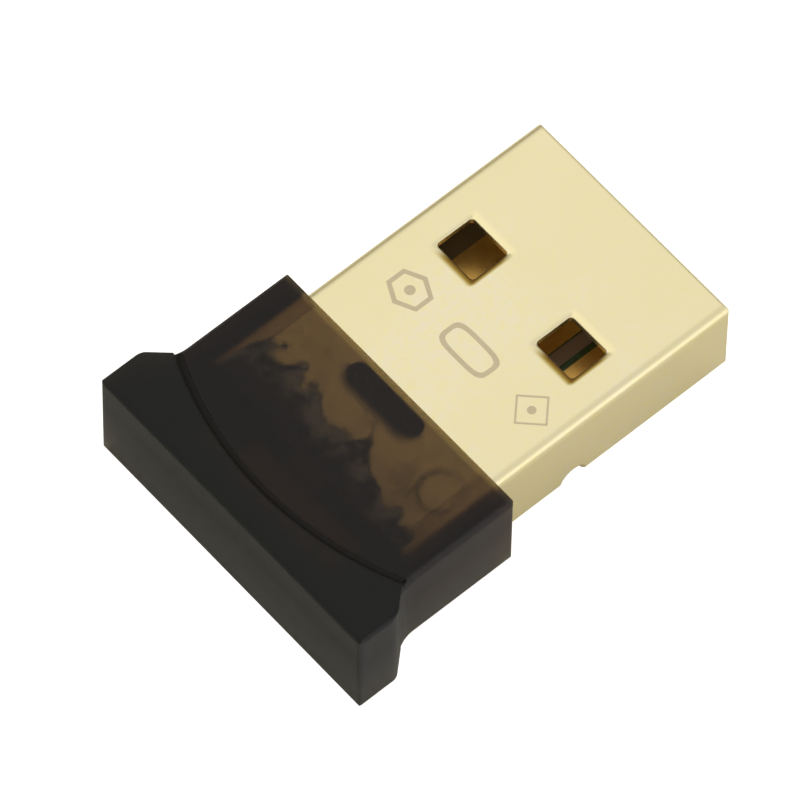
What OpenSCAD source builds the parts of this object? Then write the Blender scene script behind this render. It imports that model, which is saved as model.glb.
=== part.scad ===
// Nano wireless adapter with a type A plug: a smoky moulded cap over a folded, gilt plug shell.
// Millimetres. +X runs along the plug to its tip, +Z is up, and X = 0 is the cap's front face.

/* [Plug shell] */
// Outer width of the plug shell
shell_w = 12; // [11.6:0.05:12.4]
// Outer height of the plug shell
shell_h = 4.5; // [4.3:0.05:4.8]
// Thickness of the folded sheet
sheet_t = 0.3; // [0.24:0.02:0.36]
// Inside radius of the folds
fold_r = 0.2; // [0.1:0.02:0.3]
// Length of the shell that stands out of the cap
plug_reach = 12.8; // [12:0.1:14]
// Length of the shell held inside the cap
shell_tail = 5; // [4.2:0.1:5.4]
// Lead-in bevel round the shell's mouth
mouth_bevel = 0.1; // [0.04:0.02:0.16]
// Width of the slit where the folded sheet meets itself underneath
seam_gap = 0.06; // [0.04:0.01:0.12]
// How far a dovetail of the seam reaches sideways
dovetail_depth = 1.1; // [0.6:0.1:1.4]
// Width of a dovetail at its neck
dovetail_neck = 1.5; // [1:0.1:2]
// How much wider a dovetail is at its head, on each side
dovetail_flare = 0.3; // [0.1:0.05:0.5]

/* [Latch windows and holes] */
// Width of a latch window across the plug
window_w = 2.3; // [2:0.1:2.6]
// Length of a latch window along the plug
window_l = 2; // [1.6:0.1:2.4]
// Distance between the centres of the two windows
window_pitch = 6.2; // [5.8:0.1:6.6]
// From the shell's mouth to the front edge of a window
window_setback = 5.16; // [4.9:0.02:5.4]
// Corner radius of a window
window_r = 0.2; // [0.1:0.05:0.4]
// Diameter of the round hole punched across each lower fold
fold_hole_d = 1.4; // [1:0.1:1.6]
// From the shell's mouth to the centre of the fold holes
fold_hole_setback = 8.5; // [8:0.1:9]
// Height of the fold holes' centre over the shell's underside
fold_hole_rise = 0.28; // [0.1:0.02:0.4]
// Length of the slot in the shell's top, across the plug
slot_l = 4.3; // [3.6:0.1:5]
// Width of the slot in the shell's top, along the plug
slot_w = 1; // [0.7:0.05:1.3]
// From the cap's front face back to the slot
slot_setback = 0.3; // [0.2:0.05:0.6]

/* [Cap] */
// Room for glue all round the shell
glue_gap = 0.05; // [0.03:0.01:0.08]
// Thickness of the cap's roof and floor over the shell
roof_t = 0.3; // [0.25:0.05:0.6]
// Thickness of the cap's side walls beside the shell
side_t = 1.1; // [0.8:0.05:1.4]
// Length of the cap's straight body
body_l = 6.1; // [5.6:0.1:7]
// Length of the slopes that widen the body to the grip
slope_l = 1.1; // [0.8:0.1:1.5]
// Length of the grip's straight sides
grip_side_l = 2; // [1.6:0.05:2.6]
// How far the grip stands out past the body on each side
grip_flare = 1; // [0.6:0.05:1.5]
// How far the grip stands proud of the body, above and below
grip_rise = 0.15; // [0.05:0.05:0.4]
// How far the grip's curved front edge bows back at the middle
grip_bow = 1.55; // [1:0.05:1.7]
// Width of the groove at the foot of the grip's curved edge
groove_w = 0.34; // [0.2:0.02:0.5]
// Depth of that groove
groove_d = 0.12; // [0.05:0.01:0.16]
// Thickness of the cap's rear wall
rear_t = 1.5; // [1.2:0.05:1.8]
// Rounding of the body's upper long edges
body_edge_r = 0.4; // [0.15:0.05:0.5]
// Rounding of the body's lower long edges
body_lower_r = 0.8; // [0.3:0.05:1]
// Rounding of the body's front edges
front_edge_r = 0.2; // [0.1:0.05:0.3]
// Rounding of the body's upright front corners
front_corner_r = 0.2; // [0.1:0.05:0.8]
// Rounding of the grip's edges
grip_edge_r = 0.25; // [0.1:0.05:0.4]
// Rounding of the upright corners where the slopes end
shoulder_r = 0.9; // [0.3:0.05:1.1]
// Rounding of the grip's upright rear corners
heel_r = 0.2; // [0.1:0.05:0.45]
// Hollow rounding where the body meets the slopes
neck_r = 1.9; // [0.6:0.1:2.2]
// Width of the ribs in the cap that the board's rear end lies on
rib_w = 0.8; // [0.5:0.1:1.2]
// Distance between the centres of those ribs
rib_pitch = 7.6; // [6:0.2:9]

/* [Glue] */
// How far the glue film reaches forward of the shell's rear edge, at the least
glue_reach = 0.8; // [0.5:0.1:1.2]
// How much further its ragged edge runs at the most
glue_spread = 2.2; // [1:0.1:2.6]

/* [Circuit board] */
// Thickness of the board
board_t = 1; // [0.6:0.1:1.2]
// Clearance between the board's sides and the shell
board_side_gap = 0.05; // [0.02:0.01:0.1]
// From the shell's mouth to the board's front end
board_setback = 0.9; // [0.7:0.05:1.4]
// Clearance between the board's rear end and the cap
board_end_gap = 0.1; // [0.05:0.05:0.3]
// Chamfer at the board's front corners
board_chamfer = 0.5; // [0.2:0.1:0.8]

/* [Board carrier] */
// Thickness of the carrier between the shell's floor and the board
carrier_t = 0.85; // [0.6:0.05:1]
// From the shell's mouth to the carrier's nose
nose_setback = 0.35; // [0.2:0.05:0.6]
// Clearance between the carrier's lip and the board's end
lip_gap = 0.05; // [0.02:0.01:0.1]
// Bevel on the nose, under its front edge
nose_bevel = 0.3; // [0.1:0.05:0.4]
// From the shell's rear edge to the carrier's rear end
carrier_back_gap = 0.6; // [0.3:0.1:1]
// Depth of the hollows over the shell's lower windows
latch_hollow_d = 0.45; // [0.2:0.05:0.6]
// Room round the lower windows in those hollows
latch_hollow_margin = 0.2; // [0.1:0.05:0.3]

/* [Contact pads] */
// Width of a contact pad
pad_w = 1.5; // [0.8:0.05:1.6]
// Thickness of a contact pad
pad_t = 0.05; // [0.03:0.01:0.1]
// Distance between the centres of the two inner pads
inner_pad_pitch = 2; // [1.8:0.1:2.4]
// Distance between the centres of the two outer pads
outer_pad_pitch = 7; // [6.6:0.1:7.4]
// From the board's front end to the outer pads
outer_pad_setback = 0.4; // [0.3:0.05:0.8]
// How much further back the inner pads begin
inner_pad_step = 1; // [0.6:0.1:1.4]

/* [Parts on the board] */
// Clear space between neighbouring parts
part_gap = 0.35; // [0.25:0.05:0.4]
// From the board's rear end to the antenna
antenna_back = 0.3; // [0.2:0.05:0.5]
// Length of the antenna's turns along the board
antenna_l = 1.75; // [1.5:0.05:1.9]
// Width of the antenna across the board
antenna_w = 6; // [5:0.25:6.5]
// Number of turns in the antenna
antenna_turns = 5; // [4:1:6]
// Width of the antenna's printed track
track_w = 0.3; // [0.2:0.05:0.35]
// Thickness of the antenna's printed track
track_t = 0.04; // [0.03:0.01:0.07]
// Side of the square radio chip
radio_side = 4; // [3:0.25:4]
// Height of the radio chip
radio_h = 0.85; // [0.6:0.05:1]
// Spacing of the radio chip's contacts
contact_pitch = 0.5; // [0.4:0.05:0.65]
// Length of the crystal's can
crystal_l = 2.5; // [2:0.1:3.2]
// Width of the crystal's can
crystal_w = 2; // [1.6:0.1:2.5]
// Height of the crystal's can
crystal_h = 0.75; // [0.6:0.05:1]
// Length of the regulator's body
regulator_l = 2.9; // [2.6:0.1:3]
// Width of the regulator's body
regulator_w = 1.6; // [1.4:0.1:1.7]
// Height of the regulator
regulator_h = 1.1; // [0.8:0.05:1.2]
// Width of the regulator over its leads
regulator_span = 2.8; // [2.4:0.1:2.8]

/* [Hidden] */
$fn = 48;
fold_outer_r = fold_r + sheet_t;
inner_w = shell_w - 2 * sheet_t;
inner_h = shell_h - 2 * sheet_t;
window_x = plug_reach - window_setback - window_l / 2;
pocket_w = shell_w + 2 * glue_gap;
pocket_h = shell_h + 2 * glue_gap;
body_w = pocket_w + 2 * side_t;
body_h = pocket_h + 2 * roof_t;
grip_w = body_w + 2 * grip_flare;
grip_h = body_h + 2 * grip_rise;
grip_front = body_l + slope_l;
cap_l = grip_front + grip_side_l;
// Plan of the grip on the left: where its slope starts and ends, and its rear corner
neck = [-body_l, body_w / 2];
shoulder = [-grip_front, grip_w / 2];
heel = [-cap_l, grip_w / 2];
// The circle through the body's two neck corners that bows back by grip_bow
bow_r = (pow(body_w / 2, 2) + pow(grip_bow, 2)) / (2 * grip_bow);
bow_centre_x = bow_r - body_l - grip_bow;
// A cut starts and ends this far outside the solid that it goes through
over = 0.5;
board_w = inner_w - 2 * board_side_gap;
board_bottom = carrier_t - inner_h / 2;
board_top = board_bottom + board_t;
board_front = plug_reach - board_setback;
board_back = -(cap_l - rear_t - board_end_gap);
lead_t = 0.15;
// Sizes of small board parts as length, width and height
small_size = [1, 0.5, 0.5];
flat_size = [1, 0.5, 0.35];
large_size = [1.6, 0.8, 0.8];
filter_size = [2, 1.25, 0.9];
memory_size = [3, 2, 0.75];
// The parts stand in four rows across the board: dx is a row's distance from the board's rear end
filter_dx = antenna_back + antenna_l + part_gap + filter_size.y / 2;
radio_dx = filter_dx + filter_size.y / 2 + part_gap + radio_side / 2;
supply_dx = radio_dx + radio_side / 2 + part_gap + regulator_span / 2;
// Where a row's parts stand across the board
radio_y = -0.4;
memory_y = radio_y + radio_side / 2 + part_gap + memory_size.y / 2;
column_y = radio_y - radio_side / 2 - part_gap - small_size.y / 2;
regulator_y = 0.45;
crystal_y = regulator_y - regulator_l / 2 - part_gap - crystal_l / 2;
bead_y = regulator_y + regulator_l / 2 + part_gap + large_size.y / 2;
antenna_y = crystal_y - crystal_l / 2;
led_y = antenna_y + antenna_w + track_w + part_gap + large_size.x / 2;
// Steps from one small part to the next, along and across the board
step_along = small_size.x + part_gap;
step_across = small_size.y + part_gap / 2;
filter_side = (filter_size.x + small_size.x) / 2 + part_gap;
resistor_dx = radio_dx - (radio_side - flat_size.x) / 2;
// Small parts: distance from the board's rear end, place across it, and turn
capacitor_places = [
    [filter_dx, filter_side, 90], [filter_dx, -filter_side, 90],
    [radio_dx - step_along, column_y, 0], [radio_dx, column_y, 0], [radio_dx + step_along, column_y, 0],
    [radio_dx - step_along, column_y - step_across, 0], [radio_dx, column_y - step_across, 0]
];
resistor_places = [
    [resistor_dx, memory_y - step_across / 2, 0], [resistor_dx, memory_y + step_across / 2, 0],
    [filter_dx, -filter_side - step_along, 90], [filter_dx, filter_side + step_along, 90]
];
memory_dx = resistor_dx + (flat_size.x + memory_size.x) / 2 + part_gap / 2;
// The contact pads end where the first row of parts begins
pad_back = board_back + supply_dx + regulator_span / 2 + part_gap / 2;

function unit(v) = v / norm(v);
// The centre of the arc that rounds a corner; a and b are points on its two edges
function arc_centre(corner, a, b, r) = let(to_a = unit(a - corner), to_b = unit(b - corner))
    corner + unit(to_a + to_b) * r / sin(acos(to_a * to_b) / 2);

// A rectangle of the given size with round corners, centred
module round_rect(size, r) {
    square([size.x - 2 * r, size.y], center = true);
    square([size.x, size.y - 2 * r], center = true);
    for (x = [-1, 1], y = [-1, 1])
        translate([x * (size.x / 2 - r), y * (size.y / 2 - r)]) circle(r);
}

// What lies between a corner and the arc that rounds it; a and b are points on the two edges.
// It also reaches a little past the corner, so that it cuts or joins cleanly.
module corner_sliver(corner, a, b, r) {
    to_a = unit(a - corner);
    to_b = unit(b - corner);
    inward = unit(to_a + to_b);
    half = acos(to_a * to_b) / 2;
    reach = r / tan(half);
    difference() {
        polygon([corner - inward * r / 2, corner + to_a * reach, corner + to_b * reach]);
        translate(arc_centre(corner, a, b, r)) circle(r);
    }
}

// Extrudes a section drawn in Y and Z along +X, from x = start
module along_x(start, length)
    translate([start, 0, 0]) rotate([90, 0, 90]) linear_extrude(length) children();

// Extrudes a profile drawn in X and Z across Y, centred
module across_y(width)
    rotate([90, 0, 0]) linear_extrude(width, center = true) children();

// Extrudes a plan drawn in X and Y, centred on Z = 0
module plan(height)
    linear_extrude(height, center = true) children();

module both_sides() {
    children();
    mirror([0, 1, 0]) children();
}

// The body's section, with larger roundings below than above
module body_section(width) {
    difference() {
        square([width, body_h], center = true);
        for (y = [-1, 1], edge = [[body_h / 2, body_edge_r], [-body_h / 2, body_lower_r]])
            corner_sliver([y * width / 2, edge[0]], [0, edge[0]], [y * width / 2, 0], edge[1]);
    }
}

// The straight body with rounded edges all round its front
module body_block() {
    intersection() {
        along_x(-cap_l + over, cap_l) body_section(body_w);
        across_y(body_w + over) difference() {
            translate([-cap_l, -body_h / 2]) square([cap_l, body_h]);
            for (z = [-1, 1])
                corner_sliver([0, z * body_h / 2], [-1, z * body_h / 2], [0, 0], front_edge_r);
        }
        plan(body_h + over) difference() {
            translate([-cap_l, -body_w / 2]) square([cap_l, body_w]);
            for (y = [-1, 1])
                corner_sliver([0, y * body_w / 2], [-1, y * body_w / 2], [0, 0], front_corner_r);
        }
    }
}

module bow_circle(r)
    translate([bow_centre_x, 0]) circle(r, $fn = 192);

// Plan of what lies in front of the bowed edge, within the width of the body
module bow_plan()
    intersection() {
        bow_circle(bow_r);
        translate([-cap_l, -body_w / 2]) square([cap_l + over, body_w]);
    }

// Plan of the grip: slopes from the neck, straight sides, a straight back and a bowed front
module grip_plan() {
    half = [neck, shoulder, heel];
    difference() {
        polygon(concat(half, [for (i = [2 : -1 : 0]) [half[i].x, -half[i].y]]));
        both_sides() {
            corner_sliver(shoulder, neck, heel, shoulder_r);
            corner_sliver(heel, shoulder, [heel.x, 0], heel_r);
        }
        bow_plan();
    }
}

// The hollow rounding at the left neck: the body's side and its rounded edges, carried round to the slope
module neck_web() {
    centre = arc_centre(neck, [0, neck.y], shoulder, neck_r);
    reach = [centre.x - neck.x, 0];
    wall = 2 * neck_r;
    grown = 1 + 1.5 * body_lower_r / neck_r;
    intersection() {
        translate(centre) rotate_extrude() translate([neck_r + wall / 2, 0]) body_section(wall);
        plan(body_h + over) polygon([
            centre, centre + grown * (neck + reach - centre),
            centre + grown * (neck + unit(shoulder - neck) * reach.x - centre)
        ]);
    }
}

module grip_block() {
    intersection() {
        plan(grip_h) grip_plan();
        along_x(-cap_l, cap_l) round_rect([grip_w, grip_h], grip_edge_r);
        across_y(grip_w + over) difference() {
            translate([-cap_l, -grip_h / 2]) square([cap_l, grip_h]);
            for (z = [-1, 1])
                corner_sliver([-cap_l, z * grip_h / 2], [0, z * grip_h / 2], [-cap_l, 0], grip_edge_r);
        }
    }
}

// The groove along the bowed edge, on top of the body
module bow_groove()
    translate([0, 0, body_h / 2 - groove_d]) linear_extrude(over) difference() {
        bow_plan();
        bow_circle(bow_r - groove_w);
    }

// One moulding: straight body, proud grip, a pocket for the shell and a narrower one for the board's end
module housing() color([0.2, 0.17, 0.14, 0.85]) {
    difference() {
        union() {
            body_block();
            grip_block();
            both_sides() neck_web();
        }
        bow_groove();
        mirror([0, 0, 1]) bow_groove();
        along_x(-shell_tail - glue_gap, shell_tail + glue_gap + over)
            round_rect([pocket_w, pocket_h], fold_outer_r + glue_gap);
        along_x(board_back - board_end_gap, -board_back) round_rect([inner_w, inner_h], fold_r);
    }
    for (y = [-1, 1])
        translate([board_back - board_end_gap, y * rib_pitch / 2 - rib_w / 2, -inner_h / 2])
            cube([-shell_tail - glue_gap - board_back + board_end_gap, rib_w, board_bottom + inner_h / 2]);
}

// A thin straight cut from a to b, ending half its width past each
module seam_cut(a, b)
    translate(a) rotate(atan2(b.y - a.y, b.x - a.x)) translate([-seam_gap / 2, -seam_gap / 2])
        square([norm(b - a) + seam_gap, seam_gap]);

// The course of the seam from the mouth to the rear edge, with a dovetail on each side of the line
module seam() {
    neck = dovetail_neck / 2;
    head = neck + dovetail_flare;
    course = concat(
        [[plug_reach + over, 0]],
        [for (tail = [[window_x + window_l, 1], [0.35 * window_x, -1]]) each [
            [tail.x + neck, 0], [tail.x + head, tail.y * dovetail_depth],
            [tail.x - head, tail.y * dovetail_depth], [tail.x - neck, 0]
        ]],
        [[-shell_tail - over, 0]]
    );
    for (i = [1 : len(course) - 1]) seam_cut(course[i - 1], course[i]);
}

module window_pair()
    for (y = [-1, 1])
        translate([window_x, y * window_pitch / 2]) round_rect([window_l, window_w], window_r);

// One round hole of the flat sheet, folded with it: part in the side wall, part in the floor
module fold_hole() {
    x = plug_reach - fold_hole_setback;
    depth = sheet_t + fold_r;
    translate([x, shell_w / 2 - depth, -shell_h / 2 + fold_hole_rise])
        rotate([-90, 0, 0]) cylinder(h = depth + over, d = fold_hole_d);
    translate([x, shell_w / 2 + fold_hole_rise, -shell_h / 2 - over])
        cylinder(h = depth + over, d = fold_hole_d);
}

// A wedge that bevels one edge of the mouth; reach is the half size that the edge stands at
module mouth_wedge(reach, width)
    across_y(width) polygon([
        [plug_reach - mouth_bevel, reach], [plug_reach, reach - mouth_bevel],
        [plug_reach + over, reach - mouth_bevel], [plug_reach + over, reach + over],
        [plug_reach - mouth_bevel, reach + over]
    ]);

// Folded from one sheet, with its seam underneath
module plug_shell() color([0.86, 0.76, 0.5]) {
    difference() {
        along_x(-shell_tail, shell_tail + plug_reach) difference() {
            round_rect([shell_w, shell_h], fold_outer_r);
            round_rect([inner_w, inner_h], fold_r);
        }
        plan(shell_h + over) window_pair();
        both_sides() fold_hole();
        translate([-slot_setback - slot_w / 2, 0, 0]) linear_extrude(shell_h)
            round_rect([slot_w, slot_l], slot_w / 2 - 0.01);
        translate([0, 0, -shell_h / 2 - over]) linear_extrude(sheet_t + over) seam();
        for (turn = [0, 180]) rotate([turn, 0, 0]) mouth_wedge(shell_h / 2, shell_w + over);
        for (turn = [90, 270]) rotate([turn, 0, 0]) mouth_wedge(shell_w / 2, shell_h + over);
    }
}

// The ragged front edge of the glue film: a few waves that don't repeat
function glue_edge(y) =
    let (wave = sin(97 * y) * 0.5 + sin(211 * y + 40) * 0.3 + sin(389 * y + 110) * 0.2)
    -shell_tail + glue_reach + glue_spread * (0.5 + 0.5 * wave);

// The film that bonds the shell's rear end to the cap's roof
module cap_glue() color([0.13, 0.12, 0.1]) {
    half = shell_w / 2 - fold_outer_r;
    steps = 36;
    ragged = [for (i = [0 : steps]) let (y = half * (2 * i / steps - 1)) [glue_edge(y), y]];
    translate([0, 0, shell_h / 2]) linear_extrude(glue_gap)
        polygon(concat([[-shell_tail, -half]], ragged, [[-shell_tail, half]]));
}

module circuit_board() color([0.12, 0.33, 0.2])
    translate([0, 0, board_bottom]) linear_extrude(board_t) difference() {
        translate([board_back, -board_w / 2]) square([board_front - board_back, board_w]);
        both_sides() translate([board_front, board_w / 2]) rotate(45)
            square(board_chamfer * sqrt(2), center = true);
    }

// The insulating bed between the board and the shell's floor, with a lip over the board's front end
module board_carrier() color([0.16, 0.15, 0.14]) {
    back = -shell_tail + carrier_back_gap;
    front = plug_reach - nose_setback;
    lip_back = board_front + lip_gap;
    hollow = [window_l + 2 * latch_hollow_margin, window_w + 2 * latch_hollow_margin];
    difference() {
        intersection() {
            across_y(board_w) polygon([
                [back, -inner_h / 2], [front - nose_bevel, -inner_h / 2], [front, nose_bevel - inner_h / 2],
                [front, board_top], [lip_back, board_top], [lip_back, board_bottom], [back, board_bottom]
            ]);
            along_x(back, front - back) round_rect([board_w, inner_h], fold_r);
        }
        for (y = [-1, 1])
            translate([window_x, y * window_pitch / 2, -inner_h / 2 - over])
                linear_extrude(latch_hollow_d + over) round_rect(hollow, window_r);
    }
}

// A gilt finger on the board; step moves its front end back
module contact_pad(y, step) color([0.9, 0.75, 0.35])
    translate([pad_back, y - pad_w / 2, board_top])
        cube([board_front - outer_pad_setback - step - pad_back, pad_w, pad_t]);

// Places its children on the board, dx in front of its rear end
module on_board(dx, y, turn = 0)
    translate([board_back + dx, y, board_top]) rotate(turn) children();

// A block with a metal cap on each end
module end_capped_block(size) {
    rim = 0.03;
    cap = size.x * 0.22;
    translate([-size.x / 2 + rim, -size.y / 2 + rim, rim])
        cube([size.x - 2 * rim, size.y - 2 * rim, size.z - 2 * rim]);
    for (x = [-size.x / 2, size.x / 2 - cap]) translate([x, -size.y / 2, 0]) cube([cap, size.y, size.z]);
}

module capacitor(place) color([0.62, 0.5, 0.38])
    on_board(place.x, place.y, place.z) end_capped_block(small_size);

module resistor(place) color([0.12, 0.12, 0.13])
    on_board(place.x, place.y, place.z) end_capped_block(flat_size);

// A flat square package with a row of flush contacts on each side
module radio_chip() color([0.1, 0.1, 0.11])
    on_board(radio_dx, radio_y) {
        contact_w = contact_pitch / 2;
        per_side = floor((radio_side - 0.6) / contact_pitch) + 1;
        linear_extrude(radio_h) square(radio_side - 0.06, center = true);
        for (turn = [0, 90], i = [1 : per_side])
            rotate(turn) translate([(i - (per_side + 1) / 2) * contact_pitch, 0, 0])
                linear_extrude(lead_t) square([contact_w, radio_side], center = true);
    }

module memory_chip() color([0.12, 0.12, 0.13])
    on_board(memory_dx, memory_y) {
        plan_size = [memory_size.x, memory_size.y - 0.06];
        linear_extrude(memory_size.z) square(plan_size, center = true);
        for (x = [-1.5 : 1.5])
            translate([x * 0.65, 0, 0]) linear_extrude(lead_t) square([0.3, memory_size.y], center = true);
    }

// A seam-welded lid on a ceramic tray
module crystal() color([0.75, 0.74, 0.7])
    on_board(supply_dx, crystal_y, 90) {
        tray_h = crystal_h * 0.6;
        linear_extrude(tray_h) round_rect([crystal_l, crystal_w], 0.15);
        translate([0, 0, tray_h]) linear_extrude(crystal_h - tray_h)
            round_rect([crystal_l - 0.3, crystal_w - 0.3], 0.15);
    }

// A small moulded package with five bent leads, two on one side and three on the other
module regulator() color([0.13, 0.13, 0.14])
    on_board(supply_dx, regulator_y) {
        stand = 0.1;
        lead_w = 0.4;
        foot = 0.45;
        knee_z = regulator_h / 2;
        reach = regulator_span / 2;
        translate([0, 0, stand]) linear_extrude(regulator_h - stand)
            square([regulator_w, regulator_l], center = true);
        for (place = [[1, -1], [1, 0], [1, 1], [-1, -1], [-1, 1]])
            mirror([place.x < 0 ? 1 : 0, 0, 0]) translate([0, place.y * 0.95, 0]) across_y(lead_w) polygon([
                [regulator_w / 2 - lead_t, knee_z], [reach - foot + lead_t, knee_z],
                [reach - foot + lead_t, lead_t], [reach, lead_t], [reach, 0], [reach - foot, 0],
                [reach - foot, knee_z - lead_t], [regulator_w / 2 - lead_t, knee_z - lead_t]
            ]);
    }

module antenna_filter() color([0.85, 0.83, 0.78])
    on_board(filter_dx, 0, 90) end_capped_block(filter_size);

// A printed track that winds along the board's rear end
module antenna_track() color([0.8, 0.6, 0.35])
    on_board(antenna_back, antenna_y) linear_extrude(track_t) {
        pitch = antenna_w / (2 * antenna_turns);
        for (i = [0 : 2 * antenna_turns]) translate([0, i * pitch]) square([antenna_l, track_w]);
        for (i = [0 : 2 * antenna_turns - 1])
            translate([i % 2 == 0 ? 0 : antenna_l - track_w, i * pitch]) square([track_w, pitch + track_w]);
    }

// A tiny lamp: a base with end contacts and a clear moulded lens
module status_led() color([0.85, 0.88, 0.9])
    on_board(antenna_back + large_size.y / 2, led_y, 90) {
        base_h = 0.3;
        translate([0, 0, base_h / 2]) cube([large_size.x, large_size.y, base_h], center = true);
        translate([0, 0, base_h]) linear_extrude(0.3)
            round_rect([large_size.x - 0.5, large_size.y - 0.06], 0.1);
    }

module supply_bead() color([0.3, 0.3, 0.32])
    on_board(supply_dx, bead_y) end_capped_block(large_size);

module supply_capacitor() color([0.66, 0.54, 0.4])
    on_board(supply_dx, bead_y + large_size.y + part_gap / 2) end_capped_block(large_size);

// A fillet of solder between the board's top and the shell's side wall
module shell_solder(side) color([0.72, 0.72, 0.7]) {
    leg = 0.42;
    length = 1.4;
    start = -shell_tail + 0.35;
    mirror([0, side < 0 ? 1 : 0, 0]) along_x(start, length) difference() {
        translate([inner_w / 2 - leg, board_top]) square(leg);
        translate([inner_w / 2 - leg, board_top + leg]) circle(leg);
    }
}

housing();
plug_shell();
cap_glue();
circuit_board();
board_carrier();
contact_pad(-outer_pad_pitch / 2, 0);  // supply_pad
contact_pad(-inner_pad_pitch / 2, inner_pad_step);  // data_minus_pad
contact_pad(inner_pad_pitch / 2, inner_pad_step);  // data_plus_pad
contact_pad(outer_pad_pitch / 2, 0);  // ground_pad
radio_chip();
memory_chip();
crystal();
regulator();
antenna_filter();
antenna_track();
status_led();
supply_bead();
supply_capacitor();
shell_solder(1);  // shell_solder_left
shell_solder(-1);  // shell_solder_right
for (i = [1 : len(capacitor_places)])
    capacitor(capacitor_places[i - 1]);
for (i = [1 : len(resistor_places)])
    resistor(resistor_places[i - 1]);
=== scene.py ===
import math

import bpy
import numpy as np
from mathutils import Matrix, Vector


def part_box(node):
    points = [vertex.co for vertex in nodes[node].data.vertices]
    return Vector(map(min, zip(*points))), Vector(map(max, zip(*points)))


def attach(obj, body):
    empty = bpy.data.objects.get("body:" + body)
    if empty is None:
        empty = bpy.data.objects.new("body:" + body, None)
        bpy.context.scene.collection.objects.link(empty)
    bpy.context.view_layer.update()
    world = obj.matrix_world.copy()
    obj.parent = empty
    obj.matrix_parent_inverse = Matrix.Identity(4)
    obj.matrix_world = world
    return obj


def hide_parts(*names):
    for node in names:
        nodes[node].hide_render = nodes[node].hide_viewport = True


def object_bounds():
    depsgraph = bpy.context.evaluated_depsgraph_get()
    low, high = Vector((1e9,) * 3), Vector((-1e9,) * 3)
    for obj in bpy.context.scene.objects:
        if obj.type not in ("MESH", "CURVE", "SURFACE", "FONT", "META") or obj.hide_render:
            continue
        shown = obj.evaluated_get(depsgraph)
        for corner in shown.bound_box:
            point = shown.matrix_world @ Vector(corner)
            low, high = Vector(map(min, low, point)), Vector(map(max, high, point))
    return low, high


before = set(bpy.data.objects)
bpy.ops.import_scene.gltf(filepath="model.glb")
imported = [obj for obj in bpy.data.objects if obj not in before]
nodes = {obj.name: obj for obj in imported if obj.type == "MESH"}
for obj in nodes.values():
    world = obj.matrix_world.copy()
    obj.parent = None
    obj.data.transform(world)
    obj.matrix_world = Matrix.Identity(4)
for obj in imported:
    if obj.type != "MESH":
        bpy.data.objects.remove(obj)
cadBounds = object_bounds()
mm = 0.001
print("frame loaded:", len(nodes), "nodes")


# Shader nodes in few words: put sets or links inputs by name, the others add one node and give its output.
class Shade:
    def __init__(self, tree):
        self.tree = tree

    def feed(self, value, socket):
        if isinstance(value, bpy.types.NodeSocket):
            self.tree.links.new(value, socket)
        elif value is not None:
            socket.default_value = value

    def put(self, node, **values):
        for key, value in values.items():
            self.feed(value, node.inputs[key.replace("_", " ")])
        return node

    def add(self, kind, **values):
        return self.put(self.tree.nodes.new(kind), **values)

    def maths(self, operation, *values):
        node = self.tree.nodes.new("ShaderNodeMath")
        node.operation = operation
        for value, socket in zip(values, node.inputs):
            self.feed(value, socket)
        return node.outputs[0]

    def vector(self, operation, *values):
        node = self.tree.nodes.new("ShaderNodeVectorMath")
        node.operation = operation
        for value, socket in zip(values, node.inputs):
            self.feed(value, socket)
        return node.outputs["Value" if operation in ("DOT_PRODUCT", "LENGTH", "DISTANCE") else "Vector"]

    def blend(self, factor, a, b):
        node = self.tree.nodes.new("ShaderNodeMix")
        node.data_type = "RGBA"
        self.feed(factor, node.inputs[0])
        self.feed((*a, 1) if isinstance(a, tuple) else a, node.inputs[6])
        self.feed((*b, 1) if isinstance(b, tuple) else b, node.inputs[7])
        return node.outputs[2]

    def span(self, value, low, high, toLow=0.0, toHigh=1.0):
        node = self.tree.nodes.new("ShaderNodeMapRange")
        node.interpolation_type = "SMOOTHSTEP"
        self.tree.links.new(value, node.inputs[0])
        for number, socket in zip((low, high, toLow, toHigh), list(node.inputs)[1:5]):
            socket.default_value = number
        return node.outputs[0]

    def place(self):
        return self.tree.nodes.new("ShaderNodeTexCoord").outputs["Object"]

    def axes(self, vector):
        return self.add("ShaderNodeSeparateXYZ", Vector=vector).outputs

    def noise(self, vector, scale, detail=3.0, roughness=0.55):
        return self.add("ShaderNodeTexNoise", Vector=vector, Scale=scale, Detail=detail,
                        Roughness=roughness).outputs[0]

    def group(self, group, **values):
        node = self.tree.nodes.new("ShaderNodeGroup")
        node.node_tree = group
        return self.put(node, **values).outputs

    def bump(self, height, strength, distance, normal=None):
        return self.add("ShaderNodeBump", Strength=strength, Distance=distance, Height=height,
                        Normal=normal).outputs["Normal"]


# Camera and studio

view = {
    "azimuth": -41.88,      # degrees round the part, 0 looks along +Y
    "elevation": 60.18,     # degrees over the floor
    "roll": 1.08,           # degrees the picture is turned
    "distance": 507 * mm,   # from the part's origin
    "scale": 24.31,         # pixels to a millimetre at the origin
    "originPixel": (399.5, 416.7),   # where the part's origin shows in the picture
    "picture": 800,         # pixels on a side
    "sensor": 36.0,
}


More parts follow.
